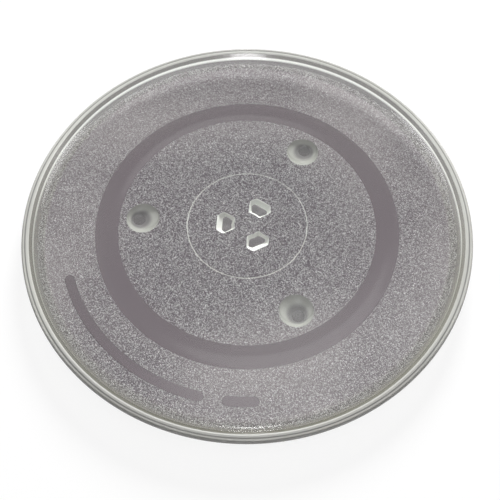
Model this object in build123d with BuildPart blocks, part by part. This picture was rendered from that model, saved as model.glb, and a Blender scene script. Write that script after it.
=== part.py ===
from build123d import *

import os

# Glass tray of a microwave oven: one pressed-glass dish that turns on a roller ring.
# The dish is a body of revolution: a flat floor, a coved wall and a rounded lip.
# Its underside carries everything the oven works on, and all of it is one piece of glass:
# three drive lugs round the centre, a fine centring ring, three feet, a smooth roller track
# and two bare panels. Millimetres, +Z up, the feet stand on Z = 0.

os.makedirs("parts", exist_ok=True)

# Dish
tray_diameter = 340.0
floor_thickness = 5.5
lip_rise = 6.8
lip_width = 5.2
lip_drop = 3.6
lip_round = 2.2
brim_round = 1.8
wall_run = 6.4
outer_run = 10.6
cove_radius = 9.4
heel_radius = 11.0

# Roller track and centring ring on the underside
track_mean_radius = 107.8
track_width = 17.6
track_relief = 0.3
track_edge = 0.6
ring_radius = 46.2
ring_width = 0.6
ring_rise = 0.2

# Feet, one behind each drive lug
foot_count = 3
foot_height = 4.6
foot_circle_radius = 80.8
foot_radius = 12.8
foot_sole_radius = 4.8
foot_lean = 3.1
foot_shoulder_drop = 2.2
foot_shoulder_inset = 2.8
foot_shoulder_lean = 0.9
foot_root = 0.5

# Drive lugs: six-sided in plan, widest two thirds of the way out, notched towards the centre,
# with a small pressing dimple in each face
first_lug_angle = 60.0
lug_height = 3.9
lug_inner_reach = 9.6
lug_flare_length = 8.6
lug_nose_length = 4.8
lug_inner_width = 9.4
lug_widest_width = 18.6
lug_outer_width = 12.4
lug_notch = 0.7
lug_corner = 1.9
lug_side_draft = 1.7
lug_outer_draft = 3.2
lug_dimple_reach = 17.0
lug_dimple_width = 1.8
lug_dimple_depth = 0.3

# Bare panels
panel_circle_radius = 139.6
panel_width = 7.4
panel_rise = 0.25
long_panel_start = 203.5
long_panel_sweep = 56.5
short_panel_start = 268.2
short_panel_sweep = 7.6

# Levels and radii that follow from the sizes above
outer_radius = tray_diameter / 2
under_z = foot_height
floor_z = under_z + floor_thickness
lip_z = floor_z + lip_rise
brim_z = lip_z - lip_drop
lip_inner_radius = outer_radius - lip_width
cove_corner_radius = lip_inner_radius - wall_run
heel_corner_radius = outer_radius - outer_run
ring_inner_radius = ring_radius - ring_width / 2
ring_outer_radius = ring_radius + ring_width / 2
track_inner_radius = track_mean_radius - track_width / 2
track_outer_radius = track_mean_radius + track_width / 2
lug_face_z = under_z - lug_height


def lug_outline(draft, outer_draft):
    """Corners of a lug in plan on +X, drawn in by the draft on its sides and its outer end."""
    inner_x = lug_inner_reach + draft
    widest_x = lug_inner_reach + lug_flare_length - draft / 2
    outer_x = lug_inner_reach + lug_flare_length + lug_nose_length - outer_draft
    inner_y = lug_inner_width / 2 - draft / 2
    widest_y = lug_widest_width / 2 - draft
    outer_y = lug_outer_width / 2 - draft / 2
    return [
        (inner_x + lug_notch, 0),
        (inner_x, -inner_y),
        (widest_x, -widest_y),
        (outer_x, -outer_y),
        (outer_x, outer_y),
        (widest_x, widest_y),
        (inner_x, inner_y),
    ]


# One foot on +X: a dome that leans outwards to a flat sole
with BuildPart() as foot:
    with BuildSketch(Plane.XY.offset(under_z + foot_root)):
        with Locations((foot_circle_radius, 0)):
            Circle(foot_radius)
    with BuildSketch(Plane.XY.offset(under_z - foot_shoulder_drop)):
        with Locations((foot_circle_radius + foot_shoulder_lean, 0)):
            Circle(foot_radius - foot_shoulder_inset)
    with BuildSketch(Plane.XY.offset(under_z - foot_height)):
        with Locations((foot_circle_radius + foot_lean, 0)):
            Circle(foot_sole_radius)
    loft()

# One drive lug on +X: its outer end slopes, its other sides have a light draft
with BuildPart() as lug:
    with BuildSketch(Plane.XY.offset(under_z)):
        with BuildLine():
            Polyline(lug_outline(0, 0), close=True)
        make_face()
        fillet(vertices(), lug_corner)
    with BuildSketch(Plane.XY.offset(lug_face_z)):
        with BuildLine():
            Polyline(lug_outline(lug_side_draft, lug_outer_draft), close=True)
        make_face()
        fillet(vertices(), lug_corner)
    loft(ruled=True)
    with Locations((lug_dimple_reach, 0, lug_face_z + lug_dimple_depth / 2)):
        Cone(lug_dimple_width / 2, 0, lug_dimple_depth, mode=Mode.SUBTRACT)

with BuildPart() as glass_tray:
    # The dish, turned from its half section
    with BuildSketch(Plane.XZ):
        with BuildLine():
            Polyline(
                (0, under_z),
                (ring_inner_radius, under_z),
                (ring_radius, under_z - ring_rise),
                (ring_outer_radius, under_z),
                (track_inner_radius, under_z),
                (track_inner_radius + track_edge, under_z + track_relief),
                (track_outer_radius - track_edge, under_z + track_relief),
                (track_outer_radius, under_z),
                (heel_corner_radius, under_z),
                (outer_radius, brim_z),
                (outer_radius, lip_z),
                (lip_inner_radius, lip_z),
                (cove_corner_radius, floor_z),
                (0, floor_z),
                close=True,
            )
        make_face()
        rounds = [
            (heel_corner_radius, under_z, heel_radius),
            (cove_corner_radius, floor_z, cove_radius),
            (outer_radius, brim_z, brim_round),
            (outer_radius, lip_z, lip_round),
            (lip_inner_radius, lip_z, lip_round),
        ]
        for corner_radius, corner_z, rounding in rounds:
            corner = vertices().sort_by_distance((corner_radius, corner_z))[0]
            fillet(corner, rounding)
    revolve(axis=Axis.Z)

    # Feet and drive lugs stand out of the underside in pairs, a third of a turn apart
    with PolarLocations(0, foot_count, start_angle=first_lug_angle):
        add(foot.part)
        add(lug.part)

    # Bare panels, low smooth lands near the wall
    with BuildSketch(Plane.XY.offset(under_z)):
        for start, sweep in (
            (long_panel_start, long_panel_sweep),
            (short_panel_start, short_panel_sweep),
        ):
            centre_line = Edge.make_circle(
                panel_circle_radius, start_angle=start, end_angle=start + sweep
            )
            SlotArc(centre_line, panel_width)
    extrude(amount=-panel_rise)

glass_tray.part.label = "glass_tray"
export_step(glass_tray.part, "parts/glass_tray.step")
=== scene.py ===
"""Looks of a microwave oven's glass tray: smoky pressed glass, stippled below, with a clear rim.

The tray is one welded surface. Its dish is a section turned about Z, its lugs, feet and panels are
outlines carried down a wall profile, and the flat stretches between them are filled triangles.
Lengths are metres, +Z is up and the feet stand on Z = 0.
"""
import logging
import math
from dataclasses import dataclass, field
from enum import Enum

import bmesh
import bpy
import numpy as np
from mathutils import Matrix, Vector
from mathutils.geometry import delaunay_2d_cdt


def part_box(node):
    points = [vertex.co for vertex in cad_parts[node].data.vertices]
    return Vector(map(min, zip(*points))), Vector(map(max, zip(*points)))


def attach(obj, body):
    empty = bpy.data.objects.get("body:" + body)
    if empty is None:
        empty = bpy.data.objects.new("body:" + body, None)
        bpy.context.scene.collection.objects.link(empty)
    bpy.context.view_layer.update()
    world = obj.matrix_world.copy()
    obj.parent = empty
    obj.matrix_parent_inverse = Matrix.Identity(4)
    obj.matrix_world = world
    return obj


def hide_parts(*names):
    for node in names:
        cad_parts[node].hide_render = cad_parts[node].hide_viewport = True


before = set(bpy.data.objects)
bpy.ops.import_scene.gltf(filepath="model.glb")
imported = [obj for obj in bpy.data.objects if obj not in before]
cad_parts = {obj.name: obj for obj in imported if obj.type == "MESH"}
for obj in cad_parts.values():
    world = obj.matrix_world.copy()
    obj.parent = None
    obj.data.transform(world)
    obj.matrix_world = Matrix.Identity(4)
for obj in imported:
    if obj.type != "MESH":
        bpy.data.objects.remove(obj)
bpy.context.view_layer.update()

LOG = logging.getLogger("glass_tray")
TRAY_NODE = "glass_tray"
TRAY_BODY = "root"
FULL_TURN = 2 * math.pi
WELD_DISTANCE = 1e-6
# Seed, detail and spread of the clouds of painted light and shade in every glass tint.
PAINTED_CLOUD_SEED = 33.0
PAINTED_CLOUD_DETAIL = 1.0
PAINTED_CLOUD_LOW = 0.35
PAINTED_CLOUD_HIGH = 0.65

Array = np.ndarray
Tint = tuple[float, float, float]
Point = tuple[float, float, float]
Sockets = list[tuple[str, str]]


class Finish(Enum):
    """Finishes of the tray, in the order of its material slots."""

    TOP = 0
    LIP = 1
    HEEL = 2
    STIPPLE = 3
    POLISH = 4
    FACE = 5
    SOLE = 6
    DOME = 7
    FROST = 8
    BEAD = 9
    WALL = 10


@dataclass
class Patch:
    """A stretch of surface: its points, its faces as rows of point numbers, and its finish."""

    points: Array
    faces: Array
    finish: Finish


def rounded_path(corners: Array, radii: Array, steps: int, closed: bool) -> Array:
    """Replaces each corner of a path by an arc that is tangent to both its sides.

    With unit vectors a and b from the corner to its neighbours and h half the angle between them,
    the arc starts and ends radius / tan(h) along a and b, and its centre lies radius / sin(h) along
    their bisector. The arc's points swing evenly from one end to the other about that centre.

    Args:
        corners: Corner points, one row each.
        radii: Radius of each corner; an open path's two ends are kept as they are.
        steps: Straight steps in each arc.
        closed: True if the last corner joins the first.

    Returns:
        The points of the rounded path, one row each.
    """
    to_last = np.roll(corners, 1, axis=0) - corners
    to_next = np.roll(corners, -1, axis=0) - corners
    if not closed:
        to_last, to_next = to_last[1:-1], to_next[1:-1]
    inner = corners if closed else corners[1:-1]
    radius = (radii if closed else radii[1:-1])[:, None]
    a = to_last / np.linalg.norm(to_last, axis=1, keepdims=True)
    b = to_next / np.linalg.norm(to_next, axis=1, keepdims=True)
    half = np.arccos(np.clip((a * b).sum(axis=1, keepdims=True), -1, 1)) / 2
    bisector = (a + b) / np.linalg.norm(a + b, axis=1, keepdims=True)
    centre = inner + bisector * radius / np.sin(half)
    start = inner + a * radius / np.tan(half) - centre
    end = inner + b * radius / np.tan(half) - centre
    sweep = (math.pi - 2 * half)[:, None, :]
    share = np.linspace(0, 1, steps + 1)[None, :, None]
    swing = np.sin((1 - share) * sweep) * start[:, None] + np.sin(share * sweep) * end[:, None]
    arcs = (centre[:, None] + swing / np.sin(sweep)).reshape(-1, 2)
    return arcs if closed else np.vstack([corners[:1], arcs, corners[-1:]])


def ring_faces(rows: int, columns: int) -> Array:
    """Quads of a grid whose columns close on themselves, row by row.

    Args:
        rows: Rings in the grid.
        columns: Points in each ring.

    Returns:
        Four point numbers in a row for each quad.
    """
    row, column = np.meshgrid(np.arange(rows - 1), np.arange(columns), indexing="ij")
    beside = (column + 1) % columns
    low, high = row * columns, (row + 1) * columns
    quads = np.stack([low + column, low + beside, high + beside, high + column], axis=-1)
    return quads.reshape(-1, 4)


def turned(profile: Array, turns: int, finish: Finish) -> Patch:
    """Turns a section about Z: each point (r, z) becomes the ring (r cos t, r sin t, z).

    Args:
        profile: Points (r, z) of the section.
        turns: Points in each ring.
        finish: Finish of the surface.

    Returns:
        The turned surface, open at both ends.
    """
    angle = np.linspace(0, FULL_TURN, turns, endpoint=False)
    radius, height = profile[:, :1], profile[:, 1:]
    x, y = radius * np.cos(angle), radius * np.sin(angle)
    points = np.stack([x, y, np.broadcast_to(height, x.shape)], axis=-1)
    return Patch(points.reshape(-1, 3), ring_faces(len(profile), turns), finish)


def circle(radius: float, points: int) -> Array:
    """Points (r cos t, r sin t) evenly round a circle about the axis."""
    angle = np.linspace(0, FULL_TURN, points, endpoint=False)
    return radius * np.stack([np.cos(angle), np.sin(angle)], axis=1)


def spun(loop: Array, angle: float) -> Array:
    """The loop turned about the axis by an angle in radians."""
    cos, sin = math.cos(angle), math.sin(angle)
    return loop @ np.array([[cos, sin], [-sin, cos]])


def flat_field(loops: list[Array], height: float, finish: Finish) -> Patch:
    """Fills the flat stretch inside the first loop and outside the others with triangles.

    The triangles are the Delaunay ones that keep every side of every loop. A triangle stays if a
    ray from its middle along +X crosses the loops an odd number of times.

    Args:
        loops: Closed outlines, the outer one first.
        height: Level of the stretch.
        finish: Finish of the surface.

    Returns:
        The filled stretch.
    """
    sizes = [len(loop) for loop in loops]
    starts = np.cumsum([0, *sizes[:-1]])
    sides = np.vstack(
        [
            np.stack([start + np.arange(n), start + (np.arange(n) + 1) % n], axis=1)
            for start, n in zip(starts, sizes)
        ]
    )
    ends = np.vstack(loops)
    whole_hull = 0
    filled = delaunay_2d_cdt(ends.tolist(), sides.tolist(), [], whole_hull, WELD_DISTANCE)
    flat = np.array(filled[0])
    triangles = np.array(filled[2])
    middle = flat[triangles].mean(axis=1)[:, None]
    first, second = ends[sides[:, 0]][None], ends[sides[:, 1]][None]
    spans = (first[..., 1] > middle[..., 1]) != (second[..., 1] > middle[..., 1])
    rise = np.where(spans, second[..., 1] - first[..., 1], 1.0)
    share = (middle[..., 1] - first[..., 1]) / rise
    right = first[..., 0] + share * (second[..., 0] - first[..., 0]) > middle[..., 0]
    inside = (spans & right).sum(axis=1) % 2 == 1
    points = np.column_stack([flat, np.full(len(flat), height)])
    return Patch(points, triangles[inside], finish)


def carried(outline: Array, inner: Array, wall: Array, level: float, finish: Finish) -> Patch:
    """Carries an outline down a wall: at share s and depth d it is outline + s (inner - outline).

    Args:
        outline: Closed outline where the wall leaves the underside.
        inner: The same outline, point for point, where the wall meets the face.
        wall: Rows of share and depth, from the underside to the face.
        level: Level of the underside.
        finish: Finish of the wall.

    Returns:
        The wall, open at both ends.
    """
    share, depth = wall[:, 0, None, None], wall[:, 1, None]
    flat = outline[None] + share * (inner - outline)[None]
    height = np.broadcast_to(level - depth, flat.shape[:2])
    points = np.concatenate([flat, height[..., None]], axis=-1)
    return Patch(points.reshape(-1, 3), ring_faces(len(wall), len(outline)), finish)


@dataclass
class DishSection:
    """Half section of the dish, from the middle of its floor over the lip to its underside."""

    outer_radius: float
    lip_level: float
    under_level: float = 0.0046
    floor_thickness: float = 0.0055
    lip_width: float = 0.0052
    lip_drop: float = 0.0036
    lip_round: float = 0.0022
    brim_round: float = 0.0018
    wall_run: float = 0.0064
    outer_run: float = 0.0106
    cove_radius: float = 0.0094
    heel_radius: float = 0.0110
    arc_steps: int = 12
    stipple_steps: int = 9

    @property
    def floor_level(self) -> float:
        """Level of the floor inside the dish."""
        return self.under_level + self.floor_thickness

    @property
    def floor_radius(self) -> float:
        """Radius at which the flat floor stops, just inside the cove."""
        lip_inner = self.outer_radius - self.lip_width
        return lip_inner - self.wall_run - self.cove_radius / 2

    @property
    def under_radius(self) -> float:
        """Radius at which the flat underside stops, just inside the heel."""
        return self.outer_radius - self.outer_run - self.heel_radius / 2

    def rim(self) -> tuple[Array, Array, Array, Array]:
        """Section of the rim: floor, cove, wall, lip, brim and heel, as lines joined by arcs.

        Returns:
            Points (r, z) from the floor up the wall, over the lip to the brim, from there down the
            heel to the stipple, and from there to the flat underside.
        """
        lip_inner = self.outer_radius - self.lip_width
        corners = np.array(
            [
                (self.floor_radius, self.floor_level),
                (lip_inner - self.wall_run, self.floor_level),
                (lip_inner, self.lip_level),
                (self.outer_radius, self.lip_level),
                (self.outer_radius, self.lip_level - self.lip_drop),
                (self.outer_radius - self.outer_run, self.under_level),
                (self.under_radius, self.under_level),
            ]
        )
        lip = self.lip_round
        radii = np.array([0, self.cove_radius, lip, lip, self.brim_round, self.heel_radius, 0])
        path = rounded_path(corners, radii, self.arc_steps, closed=False)
        arc_points, arcs_to_brim = self.arc_steps + 1, 4
        lip_start, brim_end = arc_points + 1, arcs_to_brim * arc_points
        heel_end = len(path) - 2
        stipple = heel_end - self.stipple_steps
        return (
            path[: lip_start + 1],
            path[lip_start : brim_end + 1],
            path[brim_end : stipple + 1],
            path[stipple:],
        )


@dataclass
class DriveLug:
    """A drive lug: six-sided, notched towards the axis, with a sloped outer end."""

    height: float = 0.0039
    inner_reach: float = 0.0096
    flare_length: float = 0.0086
    nose_length: float = 0.0048
    inner_width: float = 0.0094
    widest_width: float = 0.0186
    outer_width: float = 0.0124
    notch: float = 0.0007
    corner: float = 0.0019
    side_draft: float = 0.0017
    outer_draft: float = 0.0032
    edge_round: float = 0.00045
    edge_steps: int = 6
    dimple_reach: float = 0.0170
    dimple_width: float = 0.0018
    dimple_depth: float = 0.0003
    dimple_rings: int = 4
    dimple_points: int = 32
    arc_steps: int = 10

    def outline(self, draft: float, outer_draft: float) -> Array:
        """Outline in plan on +X, drawn in by the draft, with rounded corners.

        Args:
            draft: How far the sides are drawn in.
            outer_draft: How far the outer end is drawn in.

        Returns:
            Points of the closed outline.
        """
        inner_x = self.inner_reach + draft
        widest_x = self.inner_reach + self.flare_length - draft / 2
        outer_x = self.inner_reach + self.flare_length + self.nose_length - outer_draft
        inner_y = self.inner_width / 2 - draft / 2
        widest_y = self.widest_width / 2 - draft
        outer_y = self.outer_width / 2 - draft / 2
        corners = np.array(
            [
                (inner_x + self.notch, 0),
                (inner_x, -inner_y),
                (widest_x, -widest_y),
                (outer_x, -outer_y),
                (outer_x, outer_y),
                (widest_x, widest_y),
                (inner_x, inner_y),
            ]
        )
        radii = np.full(len(corners), self.corner)
        return rounded_path(corners, radii, self.arc_steps, closed=True)

    def dimple(self, level: float, angle: float) -> tuple[Patch, Array]:
        """The pressing dimple in the face: a cone, depth (1 - r / mouth) up at r.

        Args:
            level: Level of the face.
            angle: Where the lug stands, in radians about the axis.

        Returns:
            The dimple's surface, and its mouth in plan.
        """
        mouth = self.dimple_width / 2
        out = np.linspace(mouth, 0, self.dimple_rings)
        rise = self.dimple_depth * (1 - out / mouth)
        cone = turned(np.stack([out, level + rise], axis=1), self.dimple_points, Finish.FACE)
        cone.points[:, 0] += self.dimple_reach
        cone.points[:, :2] = spun(cone.points[:, :2], angle)
        return cone, cone.points[: self.dimple_points, :2]


@dataclass
class LeaningFoot:
    """A foot: a dome whose circles shrink and move outwards down to a flat sole."""

    height: float = 0.0046
    circle_radius: float = 0.0808
    radius: float = 0.0128
    sole_radius: float = 0.0048
    lean: float = 0.0031
    shoulder_drop: float = 0.0022
    shoulder_inset: float = 0.0028
    shoulder_lean: float = 0.0009
    points: int = 128
    rings: int = 26

    def surface(self, level: float, angle: float) -> tuple[Array, Array]:
        """Rings of the dome: radius and lean are parabolas in depth through root, shoulder and sole.

        Args:
            level: Level of the underside.
            angle: Where the foot stands, in radians about the axis.

        Returns:
            The points as rings by points by x, y, z, and the root ring in plan.
        """
        depths = np.array([0, self.shoulder_drop, self.height])
        radii = np.array([self.radius, self.radius - self.shoulder_inset, self.sole_radius])
        leans = np.array([0, self.shoulder_lean, self.lean])
        swell = np.sin(np.linspace(0, math.pi / 2, self.rings))
        depth = self.height * swell
        radius = np.polyval(np.polyfit(depths, radii, 2), depth)
        centre = self.circle_radius + np.polyval(np.polyfit(depths, leans, 2), depth)
        ring = circle(1.0, self.points)
        flat = radius[:, None, None] * ring[None]
        flat[..., 0] += centre[:, None]
        flat = spun(flat.reshape(-1, 2), angle).reshape(flat.shape)
        height = np.broadcast_to((level - depth)[:, None, None], (*flat.shape[:2], 1))
        return np.concatenate([flat, height], axis=-1), flat[0]


@dataclass
class GlassTray:
    """The tray's one piece of glass."""

    section: DishSection
    lug: DriveLug = field(default_factory=DriveLug)
    foot: LeaningFoot = field(default_factory=LeaningFoot)
    count: int = 3
    first_angle: float = math.radians(60)
    track_mean_radius: float = 0.1078
    track_width: float = 0.0176
    track_relief: float = 0.0003
    track_edge: float = 0.0006
    ring_radius: float = 0.0462
    ring_width: float = 0.0006
    ring_rise: float = 0.0002
    ring_points: int = 9
    panel_circle_radius: float = 0.1396
    panel_width: float = 0.0074
    panel_rise: float = 0.00025
    panel_draft: float = 0.0002
    panel_points: int = 64
    panel_end_points: int = 18
    panels: tuple[tuple[float, float], ...] = ((203.5, 56.5), (268.2, 7.6))
    turns: int = 640
    sharp_angle: float = math.radians(32)

    def angles(self) -> list[float]:
        """Where the lugs and feet stand, in radians about the axis."""
        return [self.first_angle + FULL_TURN * k / self.count for k in range(self.count)]

    def dish(self) -> list[Patch]:
        """The floor inside the dish and the rim round it.

        Returns:
            Their surfaces, from the middle of the floor to the flat underside.
        """
        edge = circle(self.section.floor_radius, self.turns)
        wall, lip, heel, stippled = self.section.rim()
        return [
            flat_field([edge], self.section.floor_level, Finish.TOP),
            turned(wall, self.turns, Finish.WALL),
            turned(lip, self.turns, Finish.LIP),
            turned(heel, self.turns, Finish.HEEL),
            turned(stippled, self.turns, Finish.STIPPLE),
        ]

    def rings(self) -> list[Patch]:
        """The roller track and the fine centring ring, both turned about the axis.

        The track is three straight stretches. The ring is a bead: with u from 1 to -1 across it, it
        stands out of the underside by its rise times cos(u pi / 2).

        Returns:
            Their surfaces.
        """
        level = self.section.under_level
        outer = self.track_mean_radius + self.track_width / 2
        inner = self.track_mean_radius - self.track_width / 2
        track = np.array(
            [
                (outer, level),
                (outer - self.track_edge, level + self.track_relief),
                (inner + self.track_edge, level + self.track_relief),
                (inner, level),
            ]
        )
        across = np.linspace(1, -1, self.ring_points)
        bead = np.stack(
            [
                self.ring_radius + across * self.ring_width / 2,
                level - self.ring_rise * np.cos(across * math.pi / 2),
            ],
            axis=1,
        )
        return [
            turned(track, self.turns, Finish.POLISH),
            turned(bead, self.turns, Finish.BEAD),
        ]

    def lugs(self) -> tuple[list[Patch], list[Array]]:
        """The drive lugs and the holes they leave in the flat underside.

        Returns:
            Their surfaces, and their outlines in plan.
        """
        lug, level = self.lug, self.section.under_level
        draft = lug.side_draft
        corners = np.array([(-draft, 0), (0, 0), (draft, lug.height), (2 * draft, lug.height)])
        soft = np.array([0, lug.edge_round, lug.edge_round, 0])
        wall = rounded_path(corners, soft, lug.edge_steps, closed=False)[1:-1]
        wall[:, 0] /= draft
        patches, holes = [], []
        for angle in self.angles():
            root = spun(lug.outline(0, 0), angle)
            face = spun(lug.outline(lug.side_draft, lug.outer_draft), angle)
            side = carried(root, face, wall, level, Finish.FROST)
            top = side.points[-len(root):, :2]
            dimple, mouth = lug.dimple(level - lug.height, angle)
            flat = flat_field([top, mouth], level - lug.height, Finish.FACE)
            patches += [side, flat, dimple]
            holes.append(side.points[: len(root), :2])
        return patches, holes

    def feet(self) -> tuple[list[Patch], list[Array]]:
        """The feet and the holes they leave in the flat underside.

        Returns:
            Their surfaces, and their outlines in plan.
        """
        patches, holes = [], []
        level = self.section.under_level
        foot = self.foot
        for angle in self.angles():
            rings, root = foot.surface(level, angle)
            faces = ring_faces(foot.rings, foot.points)
            patches.append(Patch(rings.reshape(-1, 3), faces, Finish.DOME))
            patches.append(flat_field([rings[-1, :, :2]], level - foot.height, Finish.SOLE))
            holes.append(root)
        return patches, holes

    def panel_outline(self, start: float, sweep: float, inset: float) -> Array:
        """Outline of a bare panel: two arcs about the axis, closed by half circles at the ends.

        Args:
            start: Where the panel's straight part starts, in degrees about the axis.
            sweep: How far it runs, in degrees.
            inset: How far the outline is drawn in.

        Returns:
            Points of the closed outline.
        """
        half = self.panel_width / 2 - inset
        along = np.radians(np.linspace(start, start + sweep, self.panel_points))
        rays = np.stack([np.cos(along), np.sin(along)], axis=1)
        cap = np.linspace(0, math.pi, self.panel_end_points)[1:-1]
        ends = []
        for ray, sense in ((rays[-1], 1.0), (rays[0], -1.0)):
            side = sense * np.array([-ray[1], ray[0]])
            arc = sense * np.cos(cap)[:, None] * ray + np.sin(cap)[:, None] * side
            ends.append(self.panel_circle_radius * ray + half * arc)
        outer = (self.panel_circle_radius + half) * rays
        inner = (self.panel_circle_radius - half) * rays[::-1]
        return np.vstack([outer, ends[0], inner, ends[1]])

    def panel_lands(self) -> tuple[list[Patch], list[Array]]:
        """The bare panels, low lands with sloped edges, and the holes they leave in the underside.

        Returns:
            Their surfaces, and their outlines in plan.
        """
        patches, holes = [], []
        level = self.section.under_level
        wall = np.array([(0, 0), (1, self.panel_rise)])
        for start, sweep in self.panels:
            root = self.panel_outline(start, sweep, 0)
            face = self.panel_outline(start, sweep, self.panel_draft)
            patches.append(carried(root, face, wall, level, Finish.POLISH))
            patches.append(flat_field([face], level - self.panel_rise, Finish.POLISH))
            holes.append(root)
        return patches, holes

    def underside(self) -> list[Patch]:
        """Everything below the floor: the stippled fields, the rings, lugs, feet and panels.

        Returns:
            Their surfaces.
        """
        level, section = self.section.under_level, self.section
        lugs, lug_holes = self.lugs()
        feet, foot_holes = self.feet()
        panels, panel_holes = self.panel_lands()
        track_outer = self.track_mean_radius + self.track_width / 2
        track_inner = self.track_mean_radius - self.track_width / 2
        ring_outer = self.ring_radius + self.ring_width / 2
        ring_inner = self.ring_radius - self.ring_width / 2
        fields = [
            (section.under_radius, [circle(track_outer, self.turns), *panel_holes]),
            (track_inner, [circle(ring_outer, self.turns), *foot_holes]),
            (ring_inner, lug_holes),
        ]
        stipple = [
            flat_field([circle(edge, self.turns), *holes], level, Finish.STIPPLE)
            for edge, holes in fields
        ]
        return [*stipple, *self.rings(), *lugs, *feet, *panels]

    def build(self) -> bpy.types.Object:
        """Welds all the patches into one closed mesh, with its faces outwards and its edges kept.

        Returns:
            The tray, linked to the scene.
        """
        patches = [*self.dish(), *self.underside()]
        starts = np.cumsum([0, *[len(patch.points) for patch in patches[:-1]]])
        points = np.vstack([patch.points for patch in patches])
        faces = []
        for start, patch in zip(starts, patches):
            faces += (patch.faces + start).tolist()
        finishes = np.repeat(
            [patch.finish.value for patch in patches], [len(patch.faces) for patch in patches]
        )
        mesh = bpy.data.meshes.new("tray_glass")
        mesh.from_pydata(points.tolist(), [], faces)
        mesh.polygons.foreach_set("material_index", finishes.astype(np.int32))
        shell = bmesh.new()
        shell.from_mesh(mesh)
        bmesh.ops.remove_doubles(shell, verts=shell.verts, dist=WELD_DISTANCE)
        bmesh.ops.recalc_face_normals(shell, faces=shell.faces)
        open_edges = sum(not edge.is_manifold for edge in shell.edges)
        shell.to_mesh(mesh)
        shell.free()
        mesh.shade_smooth()
        mesh.set_sharp_from_angle(angle=self.sharp_angle)
        LOG.info("tray_glass: %d faces, %d open edges", len(mesh.polygons), open_edges)
        tray = bpy.data.objects.new("tray_glass", mesh)
        bpy.context.scene.collection.objects.link(tray)
        return tray

    def dress(self, tray: bpy.types.Object, glasses: "dict[Finish, GlassFinish]") -> None:
        """Gives the tray its finishes, one material slot each, in the order of Finish.

        Args:
            tray: The tray.
            glasses: The glass of each finish.
        """
        for finish in Finish:
            tray.data.materials.append(glasses[finish].material())


def new_group(
    name: str, inputs: Sockets, outputs: Sockets
) -> tuple[bpy.types.NodeTree, bpy.types.Node, bpy.types.Node]:
    """Starts a shader node group.

    Args:
        name: Name of the group.
        inputs: Name and socket type of each input.
        outputs: Name and socket type of each output.

    Returns:
        The group, its input node and its output node.
    """
    group = bpy.data.node_groups.new(name, "ShaderNodeTree")
    for label, kind in inputs:
        group.interface.new_socket(label, in_out="INPUT", socket_type=kind)
    for label, kind in outputs:
        group.interface.new_socket(label, in_out="OUTPUT", socket_type=kind)
    return group, group.nodes.new("NodeGroupInput"), group.nodes.new("NodeGroupOutput")


def fade_group() -> bpy.types.NodeTree:
    """Fade by height: 0 up to one level, 1 from another, smooth between them.

    Returns:
        The group, with a mask output.
    """
    found = bpy.data.node_groups.get("fade_by_height")
    if found:
        return found
    group, given, result = new_group(
        "fade_by_height",
        [("Low Level", "NodeSocketFloat"), ("High Level", "NodeSocketFloat")],
        [("Mask", "NodeSocketFloat")],
    )
    place = group.nodes.new("ShaderNodeTexCoord")
    split = group.nodes.new("ShaderNodeSeparateXYZ")
    fade = group.nodes.new("ShaderNodeMapRange")
    fade.interpolation_type = "SMOOTHSTEP"
    group.links.new(place.outputs["Object"], split.inputs["Vector"])
    group.links.new(split.outputs["Z"], fade.inputs["Value"])
    group.links.new(given.outputs["Low Level"], fade.inputs["From Min"])
    group.links.new(given.outputs["High Level"], fade.inputs["From Max"])
    group.links.new(fade.outputs["Result"], result.inputs["Mask"])
    return group


def band_group() -> bpy.types.NodeTree:
    """Band by distance from the axis: 1 between two radii, fading to 0 outside them.

    Returns:
        The group, with a mask output.
    """
    found = bpy.data.node_groups.get("band_by_radius")
    if found:
        return found
    group, given, result = new_group(
        "band_by_radius",
        [
            ("Inner Radius", "NodeSocketFloat"),
            ("Outer Radius", "NodeSocketFloat"),
            ("Inner Fade", "NodeSocketFloat"),
            ("Outer Fade", "NodeSocketFloat"),
        ],
        [("Mask", "NodeSocketFloat")],
    )
    place = group.nodes.new("ShaderNodeTexCoord")
    flat = group.nodes.new("ShaderNodeVectorMath")
    flat.operation = "MULTIPLY"
    flat.inputs[1].default_value = (1, 1, 0)
    reach = group.nodes.new("ShaderNodeVectorMath")
    reach.operation = "LENGTH"
    group.links.new(place.outputs["Object"], flat.inputs[0])
    group.links.new(flat.outputs["Vector"], reach.inputs[0])
    sides = []
    for radius, fade, sense in (
        ("Inner Radius", "Inner Fade", "SUBTRACT"),
        ("Outer Radius", "Outer Fade", "ADD"),
    ):
        edge = group.nodes.new("ShaderNodeMath")
        edge.operation = sense
        side = group.nodes.new("ShaderNodeMapRange")
        side.interpolation_type = "SMOOTHSTEP"
        group.links.new(given.outputs[radius], edge.inputs[0])
        group.links.new(given.outputs[fade], edge.inputs[1])
        group.links.new(reach.outputs["Value"], side.inputs["Value"])
        group.links.new(edge.outputs["Value"], side.inputs["From Min"])
        group.links.new(given.outputs[radius], side.inputs["From Max"])
        sides.append(side)
    both = group.nodes.new("ShaderNodeMath")
    both.operation = "MULTIPLY"
    group.links.new(sides[0].outputs["Result"], both.inputs[0])
    group.links.new(sides[1].outputs["Result"], both.inputs[1])
    group.links.new(both.outputs["Value"], result.inputs["Mask"])
    return group


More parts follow.
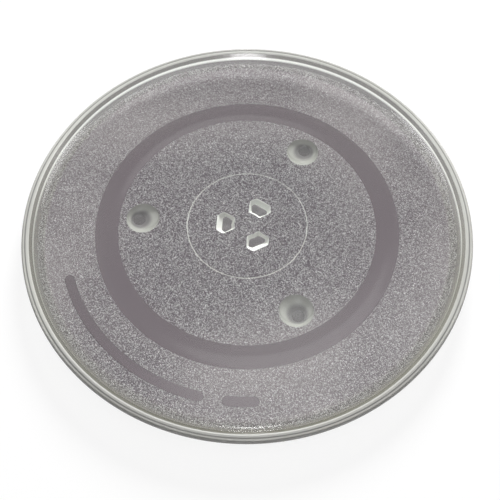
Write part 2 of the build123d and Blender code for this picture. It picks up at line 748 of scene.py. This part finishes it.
def stipple_group() -> bpy.types.NodeTree:
    """Pressed stipple: close pits, each with a depth of its own.

    Returns:
        The group: Height is the pits' relief, Grain is one random value for each pit.
    """
    found = bpy.data.node_groups.get("pressed_stipple")
    if found:
        return found
    group, given, result = new_group(
        "pressed_stipple",
        [("Grain Scale", "NodeSocketFloat")],
        [("Height", "NodeSocketFloat"), ("Grain", "NodeSocketFloat")],
    )
    place = group.nodes.new("ShaderNodeTexCoord")
    pits = group.nodes.new("ShaderNodeTexVoronoi")
    split = group.nodes.new("ShaderNodeSeparateColor")
    depth = group.nodes.new("ShaderNodeMath")
    depth.operation = "MULTIPLY"
    group.links.new(place.outputs["Object"], pits.inputs["Vector"])
    group.links.new(given.outputs["Grain Scale"], pits.inputs["Scale"])
    group.links.new(pits.outputs["Color"], split.inputs["Color"])
    group.links.new(pits.outputs["Distance"], depth.inputs[0])
    group.links.new(split.outputs["Green"], depth.inputs[1])
    group.links.new(depth.outputs["Value"], result.inputs["Height"])
    group.links.new(split.outputs["Red"], result.inputs["Grain"])
    return group


def painted_cloud_group() -> bpy.types.NodeTree:
    """Painted light and shade: wide soft clouds of lighter and darker tint, and a faint ripple of the
    surface.

    Returns:
        The group: Cloud is a soft mask, Ripple is a low relief.
    """
    found = bpy.data.node_groups.get("painted_clouds_and_ripple")
    if found:
        return found
    group, given, result = new_group(
        "painted_clouds_and_ripple",
        [("Cloud Scale", "NodeSocketFloat"), ("Ripple Scale", "NodeSocketFloat")],
        [("Cloud", "NodeSocketFloat"), ("Ripple", "NodeSocketFloat")],
    )
    place = group.nodes.new("ShaderNodeTexCoord")
    for label in ("Cloud", "Ripple"):
        noise = group.nodes.new("ShaderNodeTexNoise")
        noise.noise_dimensions = "4D"
        noise.inputs["W"].default_value = PAINTED_CLOUD_SEED
        noise.inputs["Detail"].default_value = PAINTED_CLOUD_DETAIL
        spread = group.nodes.new("ShaderNodeMapRange")
        spread.interpolation_type = "SMOOTHSTEP"
        spread.inputs["From Min"].default_value = PAINTED_CLOUD_LOW
        spread.inputs["From Max"].default_value = PAINTED_CLOUD_HIGH
        group.links.new(place.outputs["Object"], noise.inputs["Vector"])
        group.links.new(given.outputs[f"{label} Scale"], noise.inputs["Scale"])
        group.links.new(noise.outputs["Fac"], spread.inputs["Value"])
        group.links.new(spread.outputs["Result"], result.inputs[label])
    return group


def laid_over(
    tree: bpy.types.NodeTree,
    under: bpy.types.NodeSocket,
    tint: Tint,
    mask: bpy.types.NodeSocket,
) -> bpy.types.NodeSocket:
    """Lays a tint over a colour where a mask is 1.

    Args:
        tree: The material's nodes.
        under: The colour below.
        tint: The tint on top.
        mask: How much of the tint shows.

    Returns:
        The mixed colour.
    """
    mix = tree.nodes.new("ShaderNodeMix")
    mix.data_type = "RGBA"
    mix.inputs["B"].default_value = (*tint, 1)
    tree.links.new(under, mix.inputs["A"])
    tree.links.new(mask, mix.inputs["Factor"])
    return mix.outputs["Result"]


@dataclass(frozen=True)
class TintBand:
    """A band of another tint round the axis, between two radii, with soft sides."""

    tint: Tint
    inner_radius: float
    outer_radius: float
    inner_fade: float
    outer_fade: float

    def over(
        self, tree: bpy.types.NodeTree, under: bpy.types.NodeSocket
    ) -> bpy.types.NodeSocket:
        """Mixes the band over the colour below it.

        Args:
            tree: The material's nodes.
            under: The colour below.

        Returns:
            The mixed colour.
        """
        band = tree.nodes.new("ShaderNodeGroup")
        band.node_tree = band_group()
        band.inputs["Inner Radius"].default_value = self.inner_radius
        band.inputs["Outer Radius"].default_value = self.outer_radius
        band.inputs["Inner Fade"].default_value = self.inner_fade
        band.inputs["Outer Fade"].default_value = self.outer_fade
        return laid_over(tree, under, self.tint, band.outputs["Mask"])


@dataclass(frozen=True)
class GlassFinish:
    """A finish of the glass: its tint with clouds of painted light and shade, its polish and how much
    light goes through.
    """

    name: str
    tint: Tint
    painted_cloud_tint: Tint
    roughness: float
    lamp_tint: Tint = (0.44, 0.43, 0.44)
    transmission: float = 1.0
    ior: float = 1.5
    bands: tuple[TintBand, ...] = ()
    cloud_scale: float = 7.0
    ripple_scale: float = 160.0
    ripple_height: float = 0.00001

    def material(self) -> bpy.types.Material:
        """Builds the material: tinted glass with the finish's own detail, which lamp light crosses.

        Returns:
            The material.
        """
        made = bpy.data.materials.new(self.name)
        made.use_nodes = True
        tree = made.node_tree
        glass = tree.nodes["Principled BSDF"]
        glass.inputs["Transmission Weight"].default_value = self.transmission
        glass.inputs["Metallic"].default_value = 0.0
        glass.inputs["IOR"].default_value = self.ior
        glass.inputs["Roughness"].default_value = self.roughness
        self.detail(tree, glass)
        path = tree.nodes.new("ShaderNodeLightPath")
        lamplight = tree.nodes.new("ShaderNodeBsdfTransparent")
        lamplight.inputs["Color"].default_value = (*self.lamp_tint, 1)
        mix = tree.nodes.new("ShaderNodeMixShader")
        tree.links.new(path.outputs["Is Shadow Ray"], mix.inputs["Fac"])
        tree.links.new(glass.outputs["BSDF"], mix.inputs[1])
        tree.links.new(lamplight.outputs["BSDF"], mix.inputs[2])
        tree.links.new(mix.outputs["Shader"], tree.nodes["Material Output"].inputs["Surface"])
        return made

    def painted_clouds(self, tree: bpy.types.NodeTree) -> bpy.types.Node:
        """Adds the clouds of painted light and shade to the material's nodes.

        Args:
            tree: The material's nodes.

        Returns:
            The clouds' group node.
        """
        painted_clouds = tree.nodes.new("ShaderNodeGroup")
        painted_clouds.node_tree = painted_cloud_group()
        painted_clouds.inputs["Cloud Scale"].default_value = self.cloud_scale
        painted_clouds.inputs["Ripple Scale"].default_value = self.ripple_scale
        return painted_clouds

    def colour(self, tree: bpy.types.NodeTree, painted_clouds: bpy.types.Node) -> bpy.types.NodeSocket:
        """Mixes the two tints by the clouds of painted light and shade and lays the bands round the
        axis over them.

        Args:
            tree: The material's nodes.
            painted_clouds: The clouds' group node.

        Returns:
            The mixed colour.
        """
        # The clouds are painted light and shade: patches of a second, lighter or darker tint.
        mix = tree.nodes.new("ShaderNodeMix")
        mix.data_type = "RGBA"
        mix.inputs["A"].default_value = (*self.tint, 1)
        mix.inputs["B"].default_value = (*self.painted_cloud_tint, 1)
        tree.links.new(painted_clouds.outputs["Cloud"], mix.inputs["Factor"])
        mixed = mix.outputs["Result"]
        for band in self.bands:
            mixed = band.over(tree, mixed)
        return mixed

    def detail(self, tree: bpy.types.NodeTree, glass: bpy.types.Node) -> None:
        """Gives the glass its colour with clouds of painted light and shade, and a faint ripple.

        Args:
            tree: The material's nodes.
            glass: Its Principled BSDF.
        """
        painted_clouds = self.painted_clouds(tree)
        ripple = tree.nodes.new("ShaderNodeBump")
        ripple.inputs["Distance"].default_value = self.ripple_height
        tree.links.new(self.colour(tree, painted_clouds), glass.inputs["Base Color"])
        tree.links.new(painted_clouds.outputs["Ripple"], ripple.inputs["Height"])
        tree.links.new(ripple.outputs["Normal"], glass.inputs["Normal"])


@dataclass(frozen=True)
class StippledGlass(GlassFinish):
    """Glass with pressed stipple: pits that scatter light, a few of them whitened as painted glints."""

    painted_glint_tint: Tint = (1.0, 1.0, 1.0)
    rarity: float = 5.0
    grain_scale: float = 2300.0
    grain_height: float = 0.0004

    def detail(self, tree: bpy.types.NodeTree, glass: bpy.types.Node) -> None:
        """Lays painted glints on a few of the pits over the colour with its painted clouds, and adds
        the pits' relief.

        Args:
            tree: The material's nodes.
            glass: Its Principled BSDF.
        """
        stipple = tree.nodes.new("ShaderNodeGroup")
        stipple.node_tree = stipple_group()
        stipple.inputs["Grain Scale"].default_value = self.grain_scale
        rare = tree.nodes.new("ShaderNodeMath")
        rare.operation = "POWER"
        rare.inputs[1].default_value = self.rarity
        bump = tree.nodes.new("ShaderNodeBump")
        bump.inputs["Strength"].default_value = 1.0
        bump.inputs["Distance"].default_value = self.grain_height
        tree.links.new(stipple.outputs["Grain"], rare.inputs[0])
        smoke_and_painted_shading = self.colour(tree, self.painted_clouds(tree))
        # A few pits are whitened: painted glints that stand in for sparkle.
        pits = laid_over(tree, smoke_and_painted_shading, self.painted_glint_tint, rare.outputs["Value"])
        tree.links.new(pits, glass.inputs["Base Color"])
        tree.links.new(stipple.outputs["Height"], bump.inputs["Height"])
        tree.links.new(bump.outputs["Normal"], glass.inputs["Normal"])


@dataclass(frozen=True)
class DomeGlass(GlassFinish):
    """Glass of the feet: smoky towards the sole, milky towards the root."""

    root_tint: Tint = (0.41, 0.41, 0.385)
    sole_level: float = 0.0005
    root_level: float = 0.0020

    def detail(self, tree: bpy.types.NodeTree, glass: bpy.types.Node) -> None:
        """Fades the tint from the sole to the root.

        Args:
            tree: The material's nodes.
            glass: Its Principled BSDF.
        """
        super().detail(tree, glass)
        fade = tree.nodes.new("ShaderNodeGroup")
        fade.node_tree = fade_group()
        fade.inputs["Low Level"].default_value = self.sole_level
        fade.inputs["High Level"].default_value = self.root_level
        smoke_and_painted_shading = glass.inputs["Base Color"].links[0].from_socket
        root = laid_over(tree, smoke_and_painted_shading, self.root_tint, fade.outputs["Mask"])
        tree.links.new(root, glass.inputs["Base Color"])


@dataclass(frozen=True)
class WallGlass(GlassFinish):
    """Glass of the dish's wall: a faint bloom scatters light where the wall is seen at a slant."""

    bloom: float = 1.0
    bloom_roughness: float = 0.5
    bloom_tint: Tint = (1.0, 1.0, 0.75)

    def detail(self, tree: bpy.types.NodeTree, glass: bpy.types.Node) -> None:
        """Adds the bloom to the colour with its painted clouds and the ripple.

        Args:
            tree: The material's nodes.
            glass: Its Principled BSDF.
        """
        super().detail(tree, glass)
        glass.inputs["Sheen Weight"].default_value = self.bloom
        glass.inputs["Sheen Roughness"].default_value = self.bloom_roughness
        glass.inputs["Sheen Tint"].default_value = (*self.bloom_tint, 1)


CLEAR = (0.94, 0.95, 0.93)
# Tint of the clouds of painted shade on the clear glass.
CLEAR_PAINTED_CLOUD = (0.90, 0.92, 0.90)
PALE = (0.80, 0.81, 0.77)
# The next five tints are painted shade, laid as dark bands round the axis.
WALL_PAINTED_SHADE = (0.082, 0.077, 0.077)
LIP_PAINTED_SHADE = (0.22, 0.22, 0.21)
RIM_PAINTED_SHADE = (0.46, 0.46, 0.44)
CORE_PAINTED_SHADE = (0.034, 0.025, 0.033)
COVE_PAINTED_SHADE = (0.036, 0.029, 0.034)

GLASSES = {
    # In each glass the second tint is that of the clouds of painted light and shade.
    Finish.TOP: GlassFinish(
        "polished_top_glass", CLEAR, CLEAR_PAINTED_CLOUD, roughness=0.12, lamp_tint=CLEAR
    ),
    Finish.WALL: WallGlass(
        "polished_wall_glass",
        CLEAR,
        CLEAR_PAINTED_CLOUD,
        roughness=0.12,
        lamp_tint=CLEAR,
        # The band is painted shade: a dark line round the top of the wall.
        bands=(TintBand(WALL_PAINTED_SHADE, 0.1623, 0.1650, 0.0005, 0.0004),),
    ),
    Finish.LIP: GlassFinish(
        "milky_lip_glass",
        (0.58, 0.58, 0.55),
        (0.62, 0.62, 0.58),
        roughness=0.15,
        transmission=0.5,
        bands=(
            # Both bands are painted shade: a dark line along the lip and a grey line at its outer edge.
            TintBand(LIP_PAINTED_SHADE, 0.1666, 0.1672, 0.0004, 0.0004),
            TintBand(RIM_PAINTED_SHADE, 0.1697, 0.1720, 0.0004, 0.0010),
        ),
    ),
    Finish.HEEL: GlassFinish(
        "smooth_heel_glass",
        (0.080, 0.072, 0.077),
        (0.092, 0.086, 0.088),
        roughness=0.1,
        bands=(TintBand(PALE, 0.1653, 0.1720, 0.0018, 0.0010),),
    ),
    Finish.STIPPLE: StippledGlass(
        "stippled_glass",
        (0.040, 0.029, 0.038),
        (0.150, 0.120, 0.130),
        roughness=0.3,
        ior=1.15,
        bands=(
            # Both bands are painted shade: the middle of the stippled field darker, and a dark band of
            # stipple under the cove.
            TintBand(CORE_PAINTED_SHADE, -0.010, 0.050, 0.001, 0.080),
            TintBand(COVE_PAINTED_SHADE, 0.1565, 0.1640, 0.0025, 0.0020),
        ),
    ),
    Finish.POLISH: GlassFinish(
        "polished_underside_glass", (0.076, 0.058, 0.069), (0.086, 0.068, 0.077), roughness=0.1
    ),
    # The face glass is tinted lighter than the polished underside: painted light against the shade that
    # falls under the lug faces.
    Finish.FACE: GlassFinish(
        "polished_face_glass", (0.12, 0.108, 0.115), (0.13, 0.12, 0.125), roughness=0.1
    ),
    Finish.SOLE: GlassFinish(
        "polished_sole_glass", (0.066, 0.060, 0.063), (0.075, 0.070, 0.072), roughness=0.1
    ),
    Finish.DOME: DomeGlass(
        "foot_root_glass",
        (0.18, 0.17, 0.176),
        (0.20, 0.192, 0.195),
        roughness=0.3,
        transmission=0.25,
    ),
    Finish.FROST: GlassFinish(
        "frosted_wall_glass",
        (0.88, 0.88, 0.85),
        (0.84, 0.85, 0.82),
        roughness=0.45,
        transmission=0.05,
    ),
    Finish.BEAD: GlassFinish(
        "ring_bead_glass",
        (0.74, 0.74, 0.71),
        (0.68, 0.68, 0.66),
        roughness=0.45,
        transmission=0.05,
    ),
}

TRAY_MIDDLE = (0.0, 0.0, 0.0)
FAR_WALL = (-0.012, 0.162, 0.014)


@dataclass
class Lamp:
    """A soft oval lamp that faces a point."""

    name: str
    place: Point
    aim: Point
    width: float
    length: float
    power: float
    roll: float = 0.0
    mirrored: bool = True
    lights: bool = True

    def build(self) -> None:
        """Makes the lamp, turns it to its aim and rolls it, in degrees, about that line."""
        light = bpy.data.lights.new(self.name, "AREA")
        light.shape = "ELLIPSE"
        light.size, light.size_y = self.width, self.length
        light.energy = self.power
        lamp = bpy.data.objects.new(self.name, light)
        lamp.location = self.place
        lamp.visible_camera = False
        lamp.visible_transmission = False
        lamp.visible_glossy = self.mirrored
        lamp.visible_diffuse = self.lights
        towards = Vector(self.aim) - Vector(self.place)
        facing = towards.to_track_quat("-Z", "Y").to_matrix()
        facing = facing @ Matrix.Rotation(math.radians(self.roll), 3, "Z")
        lamp.rotation_euler = facing.to_euler()
        bpy.context.scene.collection.objects.link(lamp)


@dataclass
class Studio:
    """The pale floor, the soft lamps and the even light all round."""

    floor_size: float = 12.0
    floor_level: float = -0.0001
    floor_tint: Tint = (0.93, 0.93, 0.93)
    seen_glow: float = 0.8
    floor_glow: float = 0.5
    horizon_light: float = 0.28
    high_light: float = 0.17
    horizon_height: float = 0.6
    top_light: float = 1.1
    patch_edge: float = 0.89
    patch_full: float = 0.95
    light_axis: Point = (0.2, 0.0, 1.0)
    lamps: tuple[Lamp, ...] = (
        Lamp("rear_lamp", (0.4, 3.6, 1.65), TRAY_MIDDLE, 1.5, 1.2, 310.0, mirrored=False),
        Lamp("far_glint", (0.019, -0.309, 0.417), FAR_WALL, 0.11, 0.05, 0.27, lights=False),
        Lamp("near_glint", (-0.095, 1.15, 0.53), TRAY_MIDDLE, 0.05, 0.60, 0.8, lights=False),
        Lamp("left_glint", (-2.55, 0.32, 2.65), TRAY_MIDDLE, 1.7, 2.5, 45.0, roll=31.0, lights=False),
        Lamp("right_glint", (2.50, 0.95, 2.55), TRAY_MIDDLE, 1.7, 2.5, 45.0, roll=-31.0, lights=False),
    )

    def floor(self) -> None:
        """Lays the floor: a wide pale square under the soles, lifted towards white where it is seen."""
        half, level = self.floor_size / 2, self.floor_level
        signs = np.array([(-1, -1), (1, -1), (1, 1), (-1, 1)])
        corners = np.column_stack([signs * half, np.full(len(signs), level)])
        mesh = bpy.data.meshes.new("studio_floor")
        mesh.from_pydata(corners.tolist(), [], [[0, 1, 2, 3]])
        floor = bpy.data.objects.new("studio_floor", mesh)
        bpy.context.scene.collection.objects.link(floor)
        matt = bpy.data.materials.new("pale_floor")
        matt.use_nodes = True
        tree = matt.node_tree
        paint = tree.nodes["Principled BSDF"]
        paint.inputs["Base Color"].default_value = (*self.floor_tint, 1)
        paint.inputs["Roughness"].default_value = 1.0
        paint.inputs["Specular IOR Level"].default_value = 0.0
        path = tree.nodes.new("ShaderNodeLightPath")
        white = tree.nodes.new("ShaderNodeEmission")
        white.inputs["Color"].default_value = (1, 1, 1, 1)
        mix = tree.nodes.new("ShaderNodeMixShader")
        glow = mix.inputs["Fac"]
        for way, share in (
            ("Is Camera Ray", self.seen_glow),
            ("Is Glossy Ray", self.floor_glow),
            ("Is Transmission Ray", self.floor_glow),
        ):
            part = tree.nodes.new("ShaderNodeMath")
            part.operation = "MULTIPLY"
            part.inputs[1].default_value = share
            larger = tree.nodes.new("ShaderNodeMath")
            larger.operation = "MAXIMUM"
            larger.inputs[1].default_value = 0.0
            tree.links.new(path.outputs[way], part.inputs[0])
            tree.links.new(part.outputs["Value"], larger.inputs[0])
            tree.links.new(larger.outputs["Value"], glow)
            glow = larger.inputs[1]
        tree.links.new(paint.outputs["BSDF"], mix.inputs[1])
        tree.links.new(white.outputs["Emission"], mix.inputs[2])
        tree.links.new(mix.outputs["Shader"], tree.nodes["Material Output"].inputs["Surface"])
        mesh.materials.append(matt)

    def sky(self) -> None:
        """Lights the studio all round, with a soft patch above; seen directly it is white.

        The light falls with the height of a direction above the horizon. The patch fades in from
        one height along the light axis to another.
        """
        world = bpy.data.worlds.new("studio_light")
        world.use_nodes = True
        world.cycles.sampling_method = "NONE"
        tree = world.node_tree
        glow = tree.nodes["Background"]
        glow.inputs["Color"].default_value = (1, 1, 1, 1)
        place = tree.nodes.new("ShaderNodeTexCoord")
        split = tree.nodes.new("ShaderNodeSeparateXYZ")
        height = tree.nodes.new("ShaderNodeVectorMath")
        height.operation = "DOT_PRODUCT"
        height.inputs[1].default_value = self.light_axis
        tree.links.new(place.outputs["Generated"], split.inputs["Vector"])
        tree.links.new(place.outputs["Generated"], height.inputs[0])
        rise = tree.nodes.new("ShaderNodeMapRange")
        rise.inputs["From Max"].default_value = self.horizon_height
        rise.inputs["To Min"].default_value = self.horizon_light
        rise.inputs["To Max"].default_value = self.high_light
        tree.links.new(split.outputs["Z"], rise.inputs["Value"])
        above = tree.nodes.new("ShaderNodeMapRange")
        above.interpolation_type = "SMOOTHSTEP"
        above.inputs["From Min"].default_value = self.patch_edge
        above.inputs["From Max"].default_value = self.patch_full
        above.inputs["To Max"].default_value = self.top_light
        tree.links.new(height.outputs["Value"], above.inputs["Value"])
        path = tree.nodes.new("ShaderNodeLightPath")
        total = rise.outputs["Result"]
        for operation, other in (
            ("ADD", above.outputs["Result"]),
            ("MAXIMUM", path.outputs["Is Camera Ray"]),
        ):
            step = tree.nodes.new("ShaderNodeMath")
            step.operation = operation
            tree.links.new(total, step.inputs[0])
            tree.links.new(other, step.inputs[1])
            total = step.outputs["Value"]
        tree.links.new(total, glow.inputs["Strength"])
        bpy.context.scene.world = world

    def build(self) -> None:
        """Makes the floor, the light all round and the lamps."""
        self.floor()
        self.sky()
        for lamp in self.lamps:
            lamp.build()
        bpy.context.scene.view_settings.view_transform = "Standard"


@dataclass
class TrayCamera:
    """The camera at the photograph's viewing angle, given about the middle of the tray's floor."""

    floor_level: float
    turn: float = math.radians(4.4)
    distance: float = 0.5609
    elevation: float = math.radians(59.92)
    roll: float = math.radians(-0.27)
    aim_right: float = 0.0019
    aim_back: float = -0.0245
    focal_pixels: float = 731.5
    frame_pixels: float = 500.0
    sensor: float = 36.0

    def build(self) -> None:
        """Places the camera, turns it to its aim and rolls it."""
        camera = bpy.data.cameras.new("tray_camera")
        camera.sensor_width = self.sensor
        camera.lens = self.focal_pixels * self.sensor / self.frame_pixels
        seen = bpy.data.objects.new("tray_camera", camera)
        bpy.context.scene.collection.objects.link(seen)
        spin = Matrix.Rotation(self.turn, 3, "Z")
        level = Vector((0, 0, self.floor_level))
        back = Vector((0, -math.cos(self.elevation), math.sin(self.elevation)))
        place = spin @ (back * self.distance) + level
        aim = spin @ Vector((self.aim_right, self.aim_back, 0)) + level
        facing = (aim - place).to_track_quat("-Z", "Y").to_matrix()
        facing = facing @ Matrix.Rotation(self.roll, 3, "Z")
        seen.matrix_world = Matrix.Translation(place) @ facing.to_4x4()
        bpy.context.scene.camera = seen


def main() -> None:
    """Builds the camera, the studio and the tray."""
    logging.basicConfig(level=logging.INFO)
    low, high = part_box(TRAY_NODE)
    section = DishSection(outer_radius=(high.x - low.x) / 2, lip_level=high.z)
    TrayCamera(section.floor_level).build()
    Studio().build()
    tray = GlassTray(section)
    piece = tray.build()
    tray.dress(piece, GLASSES)
    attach(piece, TRAY_BODY)
    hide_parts(TRAY_NODE)


if __name__ == "__main__":
    main()
